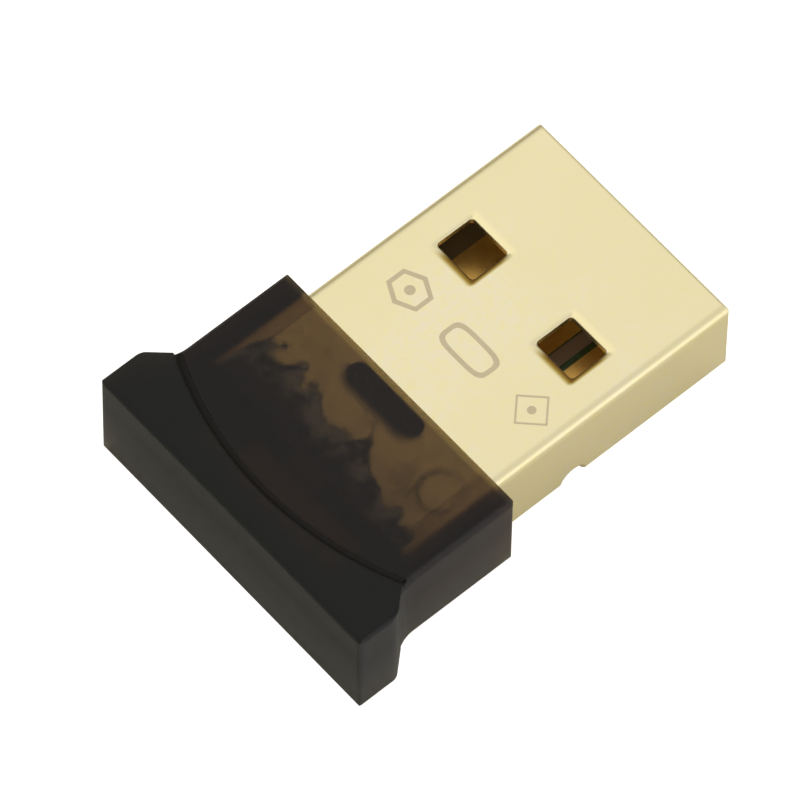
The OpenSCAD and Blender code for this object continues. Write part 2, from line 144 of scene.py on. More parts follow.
def makeCamera(s):
    azimuth, elevation, roll = (math.radians(s[k]) for k in ("azimuth", "elevation", "roll"))
    back = Vector((
        math.sin(azimuth) * math.cos(elevation),
        -math.cos(azimuth) * math.cos(elevation),
        math.sin(elevation),
    ))
    right = Vector((0, 0, 1)).cross(back).normalized()
    up = back.cross(right)
    turn = Matrix((right, up, back)).transposed() @ Matrix.Rotation(roll, 3, "Z")
    camera = bpy.data.objects.new("camera", bpy.data.cameras.new("camera"))
    bpy.context.scene.collection.objects.link(camera)
    camera.matrix_world = Matrix.Translation(back * s["distance"]) @ turn.to_4x4()
    focalPixels = s["scale"] * s["distance"] / mm
    camera.data.sensor_width = s["sensor"]
    camera.data.lens = focalPixels * s["sensor"] / s["picture"]
    half = s["picture"] / 2
    camera.data.shift_x = (half - s["originPixel"][0]) / s["picture"]
    camera.data.shift_y = (s["originPixel"][1] - half) / s["picture"]
    camera.data.clip_start = 10 * mm
    camera.data.clip_end = 5
    bpy.context.scene.camera = camera
    return camera


studio = {
    "sky": (1.0, 0.998, 0.99),
    "dusk": (0.24, 0.175, 0.09),           # low over the table on the far side
    "far": (0.66, 0.75, 0.0),
    "skyStrength": 0.78,
    "paper": (0.74, 0.715, 0.635),
    "paperGlow": (0.1, 0.095, 0.075),      # the table is lit from below, as the part sees it
    "paperWhite": 0.8,                     # what the camera sees on top of that
    "floorSize": 1.2,
    "overhead": {"place": (0.12, 0.16, 0.4), "size": 0.34, "power": 0.07},
    "side": {"place": (0.13, -0.36, 0.1), "size": 0.22, "power": 0.085},
    "behind": {"place": (-0.2, 0.2, 0.4), "size": 0.22, "power": 0.05},
}


def makeSoftbox(name, s):
    lamp = bpy.data.lights.new(name, "AREA")
    lamp.shape = "SQUARE"
    lamp.size = s["size"]
    lamp.energy = s["power"]
    box = bpy.data.objects.new(name, lamp)
    bpy.context.scene.collection.objects.link(box)
    place = Vector(s["place"])
    box.matrix_world = Matrix.Translation(place) @ place.to_track_quat("Z", "Y").to_matrix().to_4x4()


def makeStudio(s):
    world = bpy.data.worlds.new("tent")
    world.use_nodes = True
    shade = Shade(world.node_tree)
    way = shade.add("ShaderNodeTexCoord").outputs["Generated"]
    low = shade.span(shade.axes(way)[2], 0.05, 0.5, 1.0, 0.0)
    far = shade.span(shade.vector("DOT_PRODUCT", way, s["far"]), 0.0, 0.7)
    shade.put(world.node_tree.nodes["Background"], Strength=s["skyStrength"],
              Color=shade.blend(shade.maths("MULTIPLY", low, far), s["sky"], s["dusk"]))
    bpy.context.scene.world = world
    makeSoftbox("overhead", s["overhead"])
    makeSoftbox("side", s["side"])
    makeSoftbox("behind", s["behind"])
    half = s["floorSize"] / 2
    low = cadBounds[0][2] - 0.02 * mm
    plate = bpy.data.meshes.new("floor")
    plate.from_pydata([(-half, -half, low), (half, -half, low), (half, half, low), (-half, half, low)], [],
                      [(0, 1, 2, 3)])
    floor = bpy.data.objects.new("floor", plate)
    bpy.context.scene.collection.objects.link(floor)
    paint = bpy.data.materials.new("palePaper")
    paint.use_nodes = True
    tree = paint.node_tree
    paper = tree.nodes["Principled BSDF"]
    paper.inputs["Base Color"].default_value = (*s["paper"], 1)
    paper.inputs["Roughness"].default_value = 0.9
    paper.inputs["Specular IOR Level"].default_value = 0.1
    paper.inputs["Emission Color"].default_value = (*s["paperGlow"], 1)
    paper.inputs["Emission Strength"].default_value = 1.0
    white = tree.nodes.new("ShaderNodeEmission")
    white.inputs["Strength"].default_value = s["paperWhite"]
    path = tree.nodes.new("ShaderNodeLightPath")
    nothing = tree.nodes.new("ShaderNodeEmission")
    nothing.inputs["Strength"].default_value = 0.0
    either = tree.nodes.new("ShaderNodeMixShader")
    both = tree.nodes.new("ShaderNodeAddShader")
    oneSided = tree.nodes.new("ShaderNodeMixShader")          # clear from below, so the underside can be looked at
    tree.links.new(tree.nodes.new("ShaderNodeNewGeometry").outputs["Backfacing"], oneSided.inputs[0])
    tree.links.new(both.outputs[0], oneSided.inputs[1])
    tree.links.new(tree.nodes.new("ShaderNodeBsdfTransparent").outputs[0], oneSided.inputs[2])
    tree.links.new(path.outputs["Is Camera Ray"], either.inputs[0])
    tree.links.new(nothing.outputs[0], either.inputs[1])
    tree.links.new(white.outputs[0], either.inputs[2])
    tree.links.new(paper.outputs[0], both.inputs[0])
    tree.links.new(either.outputs[0], both.inputs[1])
    tree.links.new(oneSided.outputs[0], tree.nodes["Material Output"].inputs["Surface"])
    plate.materials.append(paint)
    bpy.context.scene.view_settings.view_transform = "Standard"


makeCamera(view)
makeStudio(studio)
print("camera and studio placed")


# Effects that several finishes share, each a group with named inputs and outputs

def startGroup(name, inputs, outputs):
    group = bpy.data.node_groups.new(name, "ShaderNodeTree")
    kinds = {"vector": "NodeSocketVector", "value": "NodeSocketFloat", "colour": "NodeSocketColor"}
    for title, kind, value in inputs:
        socket = group.interface.new_socket(title, in_out="INPUT", socket_type=kinds[kind])
        if value is not None:
            socket.default_value = value
    for title, kind in outputs:
        group.interface.new_socket(title, in_out="OUTPUT", socket_type=kinds[kind])
    shade = Shade(group)
    return group, shade, shade.add("NodeGroupInput").outputs, shade.add("NodeGroupOutput").inputs


# Grain: a fine noise mixed with one about five times as coarse, from 0 to 1.
def makeGrainGroup():
    group, shade, given, out = startGroup(
        "fineGrain",
        [("Vector", "vector", None), ("Scale", "value", 4000.0), ("Coarse Share", "value", 0.3)],
        [("Height", "value")],
    )
    fine = shade.noise(given["Vector"], given["Scale"], 3.0, 0.6)
    coarse = shade.noise(given["Vector"], shade.maths("MULTIPLY", given["Scale"], 0.18), 2.0)
    mixed = shade.add("ShaderNodeMix")
    for value, socket in zip((given["Coarse Share"], fine, coarse), (0, 2, 3)):
        shade.feed(value, mixed.inputs[socket])
    shade.feed(mixed.outputs[0], out["Height"])
    return group


# Specks: small round spots in a chosen share of the cells of a Voronoi pattern.
def makeSpeckGroup():
    group, shade, given, out = startGroup(
        "dustSpecks",
        [("Vector", "vector", None), ("Scale", "value", 1500.0), ("Share", "value", 0.1),
         ("Radius", "value", 0.15)],
        [("Mask", "value")],
    )
    cells = shade.add("ShaderNodeTexVoronoi", Vector=given["Vector"], Scale=given["Scale"])
    chance = shade.add("ShaderNodeSeparateColor", Color=cells.outputs["Color"]).outputs[0]
    chosen = shade.maths("LESS_THAN", chance, given["Share"])
    near = shade.maths("LESS_THAN", cells.outputs["Distance"], given["Radius"])
    shade.feed(shade.maths("MULTIPLY", chosen, near), out["Mask"])
    return group


# Rounded rims: the normal turned over sharp rims, and a mask of how far it turned.
def makeRimGroup():
    group, shade, given, out = startGroup(
        "roundedRims",
        [("Radius", "value", 0.05 * mm)],
        [("Normal", "vector"), ("Rim", "value")],
    )
    bevel = shade.add("ShaderNodeBevel", Radius=given["Radius"])
    bevel.samples = 6
    flat = shade.add("ShaderNodeNewGeometry").outputs["Normal"]
    turned = shade.vector("DOT_PRODUCT", bevel.outputs[0], flat)
    shade.feed(bevel.outputs[0], out["Normal"])
    shade.feed(shade.span(turned, 0.995, 0.8), out["Rim"])
    return group


# Chip ends: 1 where a point lies further than Half from Centre along Axis, as on a small part's metal ends.
def makeEndsGroup():
    group, shade, given, out = startGroup(
        "chipEnds",
        [("Vector", "vector", None), ("Centre", "vector", None), ("Axis", "vector", None),
         ("Half", "value", 0.001)],
        [("Mask", "value")],
    )
    away = shade.vector("DOT_PRODUCT", shade.vector("SUBTRACT", given["Vector"], given["Centre"]), given["Axis"])
    shade.feed(shade.maths("GREATER_THAN", shade.maths("ABSOLUTE", away), given["Half"]), out["Mask"])
    return group


grainGroup = makeGrainGroup()
speckGroup = makeSpeckGroup()
rimGroup = makeRimGroup()
endsGroup = makeEndsGroup()


# Finishes

def startFinish(name, colour, roughness, metallic=0.0):
    material = bpy.data.materials.new(name)
    material.use_nodes = True
    shader = material.node_tree.nodes["Principled BSDF"]
    shader.inputs["Base Color"].default_value = (*colour, 1)
    shader.inputs["Roughness"].default_value = roughness
    shader.inputs["Metallic"].default_value = metallic
    return material, Shade(material.node_tree), shader


gilt = {
    "colour": (0.885, 0.79, 0.475), "dull": (0.865, 0.785, 0.56), "warm": (0.885, 0.785, 0.455),
    # painted highlight on the shell's sharp rims
    "paintedRimHighlight": (0.93, 0.85, 0.56),
    "roughness": (0.25, 0.32), "grain": 5200.0, "rimRadius": 0.1 * mm,
    "window": (6.64, 3.1, 1.0, 1.15),       # mm: centre X and Y, half length, half width
    "rollWidth": 0.4, "rollDepth": 0.06,   # mm, how the punch drew the windows' rims down
    "deep": (0.55, 0.4, 0.07), "rolled": (0.2, 0.1, 0.02),      # painted shade at their rear and right, out and in
    "pale": (1.0, 0.88, 0.5),               # painted highlight at their front
}


def makeGiltSteel(s):
    material, shade, shader = startFinish("giltSteel", s["colour"], 0.3, 1.0)
    place = shade.place()
    drawn = shade.add("ShaderNodeMapping", Vector=place, Scale=(0.3, 1.0, 1.0)).outputs[0]
    grain = shade.group(grainGroup, Vector=drawn, Scale=s["grain"], Coarse_Share=0.35)[0]
    cloud = shade.noise(place, 110.0, 3.0)
    mottle = shade.noise(place, 2600.0, 2.0)
    x, y, z = shade.axes(place)[:3]
    # Random dull clouds, with a painted reflection on top: the shell turns duller towards -Y.
    cloudAndSideReflection = shade.maths("ADD", cloud, shade.maths("MULTIPLY", y, 18.0))
    tone = shade.blend(shade.span(cloudAndSideReflection, 0.35, 0.65), s["dull"], s["colour"])
    tone = shade.blend(shade.span(mottle, 0.3, 0.75), tone, s["warm"])
    # How far a point lies outside the nearer window, and on which side of it
    centreX, centreY, halfX, halfY = (value * mm for value in s["window"])
    middle = shade.add("ShaderNodeCombineXYZ", X=centreX, Y=shade.maths("MULTIPLY", shade.maths("SIGN", y), centreY))
    flat = shade.vector("MULTIPLY", shade.vector("SUBTRACT", place, middle.outputs[0]), (1, 1, 0))
    over = shade.vector("MAXIMUM", shade.vector("SUBTRACT", shade.vector("ABSOLUTE", flat), (halfX, halfY, 0)), (0, 0, 0))
    reach = shade.vector("LENGTH", shade.vector("MULTIPLY", over, (1, 1.5, 1)))
    share = shade.maths("MINIMUM", shade.maths("DIVIDE", reach, s["rollWidth"] * mm), 1.0)
    away = shade.vector("NORMALIZE", shade.vector("MULTIPLY", over, shade.vector("SIGN", flat)))
    behind = shade.span(shade.vector("DOT_PRODUCT", flat, (1, 1, 0)), -0.1 * mm, -0.9 * mm)
    near = shade.maths("SUBTRACT", 1.0, shade.maths("MULTIPLY", share, share))
    # Painted shade behind each window, darkest down in the roll, and a painted highlight along its front.
    tone = shade.blend(shade.maths("MULTIPLY", behind, shade.span(share, 1.0, 0.35)), tone, s["deep"])
    tone = shade.blend(shade.maths("MULTIPLY", behind, shade.span(share, 0.85, 0.0)), tone, s["rolled"])
    ahead = shade.maths("MAXIMUM", shade.vector("DOT_PRODUCT", away, (1, 0, 0)), 0.0)
    tone = shade.blend(shade.maths("MULTIPLY", near, ahead), tone, s["pale"])
    rolled = shade.maths("MULTIPLY", share, shade.maths("SUBTRACT", 2.0, share))
    rim = shade.group(rimGroup, Radius=s["rimRadius"])
    # Painted highlight: the sharp rims go half way to a paler gold.
    shade.put(shader, Base_Color=shade.blend(shade.maths("MULTIPLY", rim["Rim"], 0.5), tone, s["paintedRimHighlight"]))
    shade.put(shader, Roughness=shade.span(cloud, 0.3, 0.7, *s["roughness"]))
    dents = shade.maths("ADD", shade.maths("MULTIPLY", mottle, 3.0), grain)
    normal = shade.bump(dents, 0.1, 0.012 * mm, rim["Normal"])
    shade.put(shader, Normal=shade.bump(rolled, 1.0, s["rollDepth"] * mm, normal))
    return material


smoke = {
    "tint": (0.082, 0.049, 0.034), "gripTint": (0.07, 0.07, 0.058), "clear": 0.95,
    "lipGoldReflection": (0.6, 0.47, 0.24),                                 # painted reflection of the gold shell, at the thin front lip
    "paintedSideLight": (0.38, 0.35, 0.42), "paintedFootLight": (1.0, 0.96, 0.88),  # painted light down the sides, lighter towards the foot and front
    "paintedRearLight": (0.42, 0.41, 0.37),                                # painted light at the foot of the rear face
    "roughness": (0.47, 0.54), "index": 1.33, "rimRadius": 0.12 * mm,
    "absorb": (0.53, 0.41, 0.045), "density": 2150.0,
    "bowCentre": 9.616, "bowRadius": 17.266,   # mm, the circle that the grip's front edge follows
    "pocket": (6.06, 2.31),                    # half sizes of the pocket, whose walls the glue wets
}


def makeSmokyPlastic(s):
    material, shade, shader = startFinish("smokyPlastic", s["tint"], 0.3)
    shader.inputs["Transmission Weight"].default_value = s["clear"]
    shader.inputs["IOR"].default_value = s["index"]
    place = shade.place()
    grain = shade.group(grainGroup, Vector=place, Scale=9000.0, Coarse_Share=0.3)[0]
    shade.put(shader, Roughness=shade.span(grain, 0.35, 0.65, *s["roughness"]))
    rim = shade.group(rimGroup, Radius=s["rimRadius"])
    shade.put(shader, Normal=shade.bump(grain, 0.02, 0.002 * mm, rim["Normal"]))
    x, y, z = shade.axes(place)[:3]
    ahead = shade.maths("SUBTRACT", x, s["bowCentre"] * mm)
    reach = shade.maths("SQRT", shade.maths("ADD", shade.maths("MULTIPLY", ahead, ahead), shade.maths("MULTIPLY", y, y)))
    off = shade.maths("SUBTRACT", reach, s["bowRadius"] * mm)
    tint = shade.blend(shade.span(off, -0.1 * mm, 0.1 * mm), s["tint"], s["gripTint"])
    # Painted reflection of the gold shell: a golden tint at the front lip.
    tint = shade.blend(shade.span(x, -0.42 * mm, 0.02 * mm), tint, s["lipGoldReflection"])
    # Painted light from the table: faces that look sideways, back or down grow lighter towards the foot and the
    # front.
    low = shade.span(z, 1.2 * mm, -2.2 * mm)
    forward = shade.span(x, -14 * mm, -4 * mm)
    facing = shade.axes(shade.add("ShaderNodeNewGeometry").outputs["Normal"])
    side = shade.span(shade.maths("ABSOLUTE", facing[1]), 0.3, 0.85)
    rear = shade.span(facing[0], -0.3, -0.85)
    under = shade.span(facing[2], -0.3, -0.85)
    paintedSideLightBlend = shade.blend(shade.maths("MULTIPLY", low, forward), s["paintedSideLight"], s["paintedFootLight"])
    tint = shade.blend(side, tint, paintedSideLightBlend)
    tint = shade.blend(shade.maths("MULTIPLY", rear, low), tint, s["paintedRearLight"])
    tint = shade.blend(shade.maths("MULTIPLY", under, shade.span(x, -6 * mm, -1 * mm)), tint, s["paintedFootLight"])
    shade.put(shader, Base_Color=tint)
    wide = shade.maths("GREATER_THAN", shade.maths("ABSOLUTE", y), s["pocket"][0] * mm)
    high = shade.maths("GREATER_THAN", shade.maths("ABSOLUTE", z), s["pocket"][1] * mm)
    deep = shade.maths("LESS_THAN", x, -8 * mm)
    shade.put(shader, Alpha=shade.maths("MAXIMUM", shade.maths("MAXIMUM", wide, high), deep))
    haze = shade.add("ShaderNodeVolumeAbsorption")
    haze.inputs["Color"].default_value = (*s["absorb"], 1)
    haze.inputs["Density"].default_value = s["density"]
    shade.feed(haze.outputs[0], material.node_tree.nodes["Material Output"].inputs["Volume"])
    return material


# A colour broken by grain towards a second one, with uneven gloss and a fine bump.
def makePlainFinish(name, colour, second, roughness, metallic=0.0, grain=3000.0, bump=0.1):
    material, shade, shader = startFinish(name, colour, roughness[0], metallic)
    height = shade.group(grainGroup, Vector=shade.place(), Scale=grain, Coarse_Share=0.4)[0]
    shade.put(shader, Base_Color=shade.blend(shade.span(height, 0.35, 0.7), colour, second))
    shade.put(shader, Roughness=shade.span(height, 0.3, 0.7, *roughness))
    shade.put(shader, Normal=shade.bump(height, bump, 0.02 * mm))
    return material


board = {
    "mask": (0.026, 0.045, 0.01), "track": (0.03, 0.07, 0.018), "fibre": (0.22, 0.135, 0.08),
    "band": (-2.45, -1.8),      # mm along Y, the bare strip between two contacts
    "paintedShadow": (0.12, 0.075, 0.03), "paintedShadowFrom": 4.2,   # painted shadow on the mask beside the ground contact
    "trackPitch": 620.0, "roughness": (0.3, 0.42),
}


# The board: dark solder mask, lighter where a track runs under it, one bare strip between the contacts, and a
# painted shadow beside the ground contact.
def makeBoardFinish(s):
    material, shade, shader = startFinish("greenBoard", s["mask"], 0.35)
    place = shade.place()
    x, y, z = shade.axes(place)[:3]
    waves = shade.add("ShaderNodeTexVoronoi", Vector=place, Scale=s["trackPitch"])
    waves.distance = "CHEBYCHEV"
    waves.feature = "DISTANCE_TO_EDGE"
    tracks = shade.span(waves.outputs["Distance"], 0.05, 0.09, 1.0, 0.0)
    grain = shade.group(grainGroup, Vector=place, Scale=3500.0)[0]
    colour = shade.blend(tracks, s["mask"], s["track"])
    low, high = (value * mm for value in s["band"])
    inside = shade.maths("MULTIPLY", shade.maths("GREATER_THAN", y, low), shade.maths("LESS_THAN", y, high))
    ahead = shade.maths("GREATER_THAN", x, 2 * mm)
    colour = shade.blend(shade.maths("MULTIPLY", inside, ahead), colour, s["fibre"])
    # Painted shadow on the mask beside the ground contact.
    inPaintedShadow = shade.maths("GREATER_THAN", y, s["paintedShadowFrom"] * mm)
    colour = shade.blend(shade.maths("MULTIPLY", inPaintedShadow, ahead), colour, s["paintedShadow"])
    shade.put(shader, Base_Color=colour, Roughness=shade.span(grain, 0.3, 0.7, *s["roughness"]))
    height = shade.maths("ADD", shade.maths("MULTIPLY", tracks, 0.6), shade.maths("MULTIPLY", grain, 0.2))
    shade.put(shader, Normal=shade.bump(height, 0.3, 0.02 * mm))
    return material


# A small part's finish: its body colour with grain, and metal at its two ends along the longer side.
def makeChipFinish(node, colour, second, metalEnd=0.2 * mm):
    low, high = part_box(node)
    centre, size = (low + high) / 2, high - low
    axis = (1.0, 0.0, 0.0) if size.x > size.y else (0.0, 1.0, 0.0)
    material, shade, shader = startFinish(node + "Finish", colour, 0.5)
    place = shade.place()
    half = max(size.x, size.y) / 2 - metalEnd
    ends = shade.group(endsGroup, Vector=place, Centre=tuple(centre), Axis=axis, Half=half)[0]
    grain = shade.group(grainGroup, Vector=place, Scale=4000.0)[0]
    body = shade.blend(shade.span(grain, 0.35, 0.7), colour, second)
    shade.put(shader, Base_Color=shade.blend(ends, body, (0.66, 0.65, 0.62)), Metallic=ends,
              Roughness=shade.span(grain, 0.3, 0.7, 0.3, 0.5), Normal=shade.bump(grain, 0.1, 0.02 * mm))
    return material


finishes = {
    "blackNylon": makePlainFinish("blackNylon", (0.022, 0.02, 0.018), (0.045, 0.04, 0.036), (0.45, 0.6)),
    "giltPad": makePlainFinish("giltPad", (0.82, 0.48, 0.12), (0.86, 0.53, 0.15), (0.33, 0.4), 1.0, 7000.0, 0.02),
    "chipMould": makePlainFinish("chipMould", (0.02, 0.02, 0.022), (0.045, 0.045, 0.05), (0.5, 0.7)),
    "canMetal": makePlainFinish("canMetal", (0.6, 0.58, 0.53), (0.72, 0.7, 0.66), (0.2, 0.35), 1.0),
    "whiteCeramic": makePlainFinish("whiteCeramic", (0.7, 0.68, 0.62), (0.8, 0.78, 0.72), (0.5, 0.7)),
    "bareCopper": makePlainFinish("bareCopper", (0.75, 0.48, 0.25), (0.85, 0.6, 0.35), (0.25, 0.4), 1.0),
    "lampResin": makePlainFinish("lampResin", (0.7, 0.74, 0.78), (0.82, 0.85, 0.88), (0.1, 0.2)),
    "solder": makePlainFinish("solder", (0.62, 0.62, 0.6), (0.74, 0.74, 0.72), (0.15, 0.35), 1.0),
    "etchedMark": makePlainFinish("etchedMark", (0.61, 0.52, 0.335), (0.68, 0.585, 0.385), (0.4, 0.5), 0.9, 6000.0),
}
giltSteel = makeGiltSteel(gilt)
smokyPlastic = makeSmokyPlastic(smoke)
greenBoard = makeBoardFinish(board)
print("finishes made")


def dress(node, material):
    mesh = nodes[node].data
    mesh.materials.clear()
    mesh.materials.append(material)


looks = {
    "housing": smokyPlastic, "plug_shell": giltSteel, "cap_glue": finishes["blackNylon"],
    "circuit_board": greenBoard, "board_carrier": finishes["blackNylon"],
    "supply_pad": finishes["giltPad"], "data_minus_pad": finishes["giltPad"],
    "data_plus_pad": finishes["giltPad"], "ground_pad": finishes["giltPad"],
    "radio_chip": finishes["chipMould"], "memory_chip": finishes["chipMould"], "regulator": finishes["chipMould"],
    "crystal": finishes["canMetal"], "antenna_track": finishes["bareCopper"],
    "shell_solder_left": finishes["solder"], "shell_solder_right": finishes["solder"],
}
chipColours = {
    "capacitor": ((0.33, 0.22, 0.13), (0.42, 0.3, 0.19)), "resistor": ((0.015, 0.015, 0.017), (0.03, 0.03, 0.032)),
    "supply_capacitor": ((0.36, 0.25, 0.15), (0.45, 0.33, 0.21)), "supply_bead": ((0.1, 0.1, 0.105), (0.16, 0.16, 0.165)),
    "antenna_filter": ((0.7, 0.68, 0.62), (0.8, 0.78, 0.72)), "status_led": ((0.7, 0.74, 0.78), (0.82, 0.85, 0.88)),
}
for name in nodes:
    family = name.split("_")[0] if name.startswith(("capacitor", "resistor")) else name
    dress(name, looks[name] if name in looks else makeChipFinish(name, *chipColours[family]))
print("nodes dressed")


# Meshes from grids of points

# Quads of a grid of points; a looped grid's last line joins its first, across or along.
def gridQuads(rows, columns, start=0, loopRows=False, loopColumns=False):
    index = np.arange(rows * columns).reshape(rows, columns) + start
    if loopRows:
        index = np.vstack([index, index[:1]])
    if loopColumns:
        index = np.hstack([index, index[:, :1]])
    return np.stack([index[:-1, :-1], index[:-1, 1:], index[1:, 1:], index[1:, :-1]], -1).reshape(-1, 4)


# A closed slab between an upper and a lower grid: the upper quads, the lower ones turned over, a wall round the rim.
def slabQuads(rows, columns):
    index = np.arange(rows * columns).reshape(rows, columns)
    rim = np.concatenate([index[0, :-1], index[:-1, -1], index[-1, :0:-1], index[:0:-1, 0]])
    ahead = np.roll(rim, -1)
    lower = rows * columns
    wall = np.stack([rim, rim + lower, ahead + lower, ahead], -1)
    return np.vstack([gridQuads(rows, columns), gridQuads(rows, columns, lower)[:, ::-1], wall])


# A closed mesh as a piece of the part; its quads are turned over if its volume, the sum of the signed
# tetrahedra from the origin, comes out negative. Fields are values at its points that its finish reads.
def makePiece(name, points, quads, material, slot, smooth=True, **fields):
    a, b, c, d = (points[quads[:, k]] for k in range(4))
    volume = (np.cross(a, b) * c).sum() + (np.cross(a, c) * d).sum()
    if volume < 0:
        quads = quads[:, ::-1]
    mesh = bpy.data.meshes.new(name)
    mesh.from_pydata((points * mm).tolist(), [], quads.tolist())
    mesh.polygons.foreach_set("use_smooth", np.full(len(quads), smooth))
    mesh.materials.append(material)
    for field, values in fields.items():
        mesh.attributes.new(field, "FLOAT", "POINT").data.foreach_set("value", values.astype(np.float32))
    mesh.update()
    piece = bpy.data.objects.new(name, mesh)
    bpy.context.scene.collection.objects.link(piece)
    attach(piece, "root")
    return piece


# The glue under the cap's roof

glue = {
    "across": 5.75, "back": -5.0, "front": -0.3,    # half its width and its ends along X, mm
    "upper": 2.297, "lower": 2.246,
    # where the dark glue's front edge runs, as (Y, X)
    "edge": [(-6.1, -4.35), (-5.43, -4.17), (-4.78, -4.2), (-4.3, -3.5), (-4.02, -3.95), (-3.53, -4.05),
             (-2.84, -3.63), (-2.23, -3.55), (-1.71, -3.17), (-1.02, -2.5), (-0.75, -2.8), (-0.51, -3.18),
             (0.1, -3.05), (0.45, -3.3), (0.76, -3.35), (1.53, -2.97), (1.85, -2.62), (2.2, -2.6), (2.6, -3.3),
             (2.9, -2.6), (3.5, -2.3), (3.85, -2.95), (4.8, -3.05), (5.2, -2.45), (5.55, -3.2), (5.8, -4.6),
             (6.1, -5.0)],
    "blobs": [(-2.75, 4.9, 0.2), (-2.4, 3.35, 0.22), (-2.65, 2.4, 0.17), (-2.3, 4.6, 0.12)],  # X, Y, radius
    "ring": (-1.97, -4.78, 0.97, 0.3, 2.2),          # a dried drop's rim: X, Y, radius, half width, darkest turn
    "threads": [((-1.4, -0.4), (-1.95, -0.62), 0.1), ((-1.95, -0.62), (-2.55, -1.05), 0.1),
                ((-2.3, -3.85), (-3.2, -3.98), 0.12)],
    "slot": (-0.8, 0.5, 1.4, 0.7),                  # X, half width, half length, how far its painted shade reaches back
    "rows": 240, "columns": 110,
    "dark": (0.02, 0.02, 0.03), "froth": (0.5, 0.56, 0.72), "ragged": 0.8, "soft": 0.26, "smear": 0.22,
}


# Dark where the field "depth" is over nought, its border broken by noise; froth lies along the border, and the
# stain field gives thin traces and the painted shade over the shell's slot.
def makeGlueFinish(s):
    material, shade, shader = startFinish("driedGlue", s["dark"], 0.5)
    place = shade.place()
    depth = shade.add("ShaderNodeAttribute")
    depth.attribute_name = "depth"
    stain = shade.add("ShaderNodeAttribute")
    stain.attribute_name = "stain"
    depth, stain = depth.outputs["Fac"], stain.outputs["Fac"]
    rough = shade.maths("MULTIPLY", shade.maths("SUBTRACT", shade.noise(place, 2200.0, 4.0), 0.5), s["ragged"])
    cover = shade.span(shade.maths("ADD", depth, rough), -s["soft"], s["soft"])
    near = shade.span(shade.maths("ABSOLUTE", shade.maths("SUBTRACT", depth, 0.4)), 0.2, 1.1, 1.0, 0.0)
    cells = shade.span(shade.noise(place, 1100.0, 3.0), 0.42, 0.6)
    froth = shade.maths("MULTIPLY", near, cells)
    shade.put(shader, Base_Color=shade.blend(froth, s["dark"], s["froth"]))
    smear = shade.maths("MULTIPLY", shade.span(shade.noise(place, 520.0, 4.0), 0.5, 0.75), s["smear"])
    ahead = shade.span(shade.axes(place)[0], -0.8 * mm, -1.2 * mm)
    thin = shade.maths("MAXIMUM", stain, shade.maths("MULTIPLY", smear, ahead))
    shade.put(shader, Alpha=shade.maths("MAXIMUM", cover, thin))
    return material


def fade(off):
    return 0.5 + 0.5 * np.cos(math.pi * np.clip(off, 0, 1))


# A flat slab of u along the part and v across it. Depth is how far a point lies behind the edge line, or inside
# a blob, whichever is more; stain falls in a half wave from the ring's and the threads' middle lines to nought
# at their sides, and painted shade falls from the rear rim of the shell's slot backwards.
def makeGluePatch(s, material):
    v = np.linspace(-s["across"], s["across"], s["rows"])[:, None]
    u = np.linspace(0, 1, s["columns"])[None, :]
    x, y = np.broadcast_arrays(s["back"] + (s["front"] - s["back"]) * u, v)
    edgeY, edgeX = np.array(s["edge"]).T
    depth = np.interp(y, edgeY, edgeX) - x
    for blobX, blobY, radius in s["blobs"]:
        depth = np.maximum(depth, radius - np.hypot(x - blobX, y - blobY))
    ringX, ringY, radius, half, darkest = s["ring"]
    off = np.abs(np.hypot(x - ringX, y - ringY) - radius) / half
    turn = np.arctan2(y - ringY, x - ringX) - darkest
    stain = fade(off) * (0.22 + 0.14 * np.cos(turn))
    for (ax, ay), (bx, by), half in s["threads"]:
        along = np.clip(((x - ax) * (bx - ax) + (y - ay) * (by - ay)) / ((bx - ax) ** 2 + (by - ay) ** 2), 0, 1)
        off = np.hypot(x - ax - along * (bx - ax), y - ay - along * (by - ay)) / half
        stain = np.maximum(stain, 0.4 * fade(off))
    slotX, half, length, reach = s["slot"]
    off = np.hypot(x - slotX, np.maximum(np.abs(y) - length, 0)) - half
    # Painted shade over the shell's slot, reaching back behind it.
    stain = np.maximum(stain, 1 - np.sqrt(1 - 0.98 * fade(off / np.where(x < slotX, reach, 0.5 * reach))))
    middle, swell = (s["upper"] + s["lower"]) / 2, (s["upper"] - s["lower"]) / 2
    points = np.concatenate([np.stack([x, y, np.full_like(x, middle + side * swell)], -1).reshape(-1, 3)
                             for side in (1, -1)])
    piece = makePiece("gluePatch", points, slabQuads(*x.shape), material, "dark_glue",
                      depth=np.tile(depth.ravel(), 2), stain=np.tile(stain.ravel(), 2))
    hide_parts("cap_glue")
    return piece


makeGluePatch(glue, makeGlueFinish(glue))


foldHighlight = {
    "fold": (5.4, 1.65, 0.598),     # mm, the fold's middle in Y and Z and a radius a hair inside the metal
    "wall": (6.045, 2.295),         # mm, the pocket's wall and roof, which the pale sheet reaches
    "start": 5.1, "thins": (5.15, 5.32), "foot": 0.6, "back": -4.9, "front": -0.12, "steps": 24,
    "colour": (1.0, 0.86, 0.52), "second": (0.93, 0.77, 0.44),
}


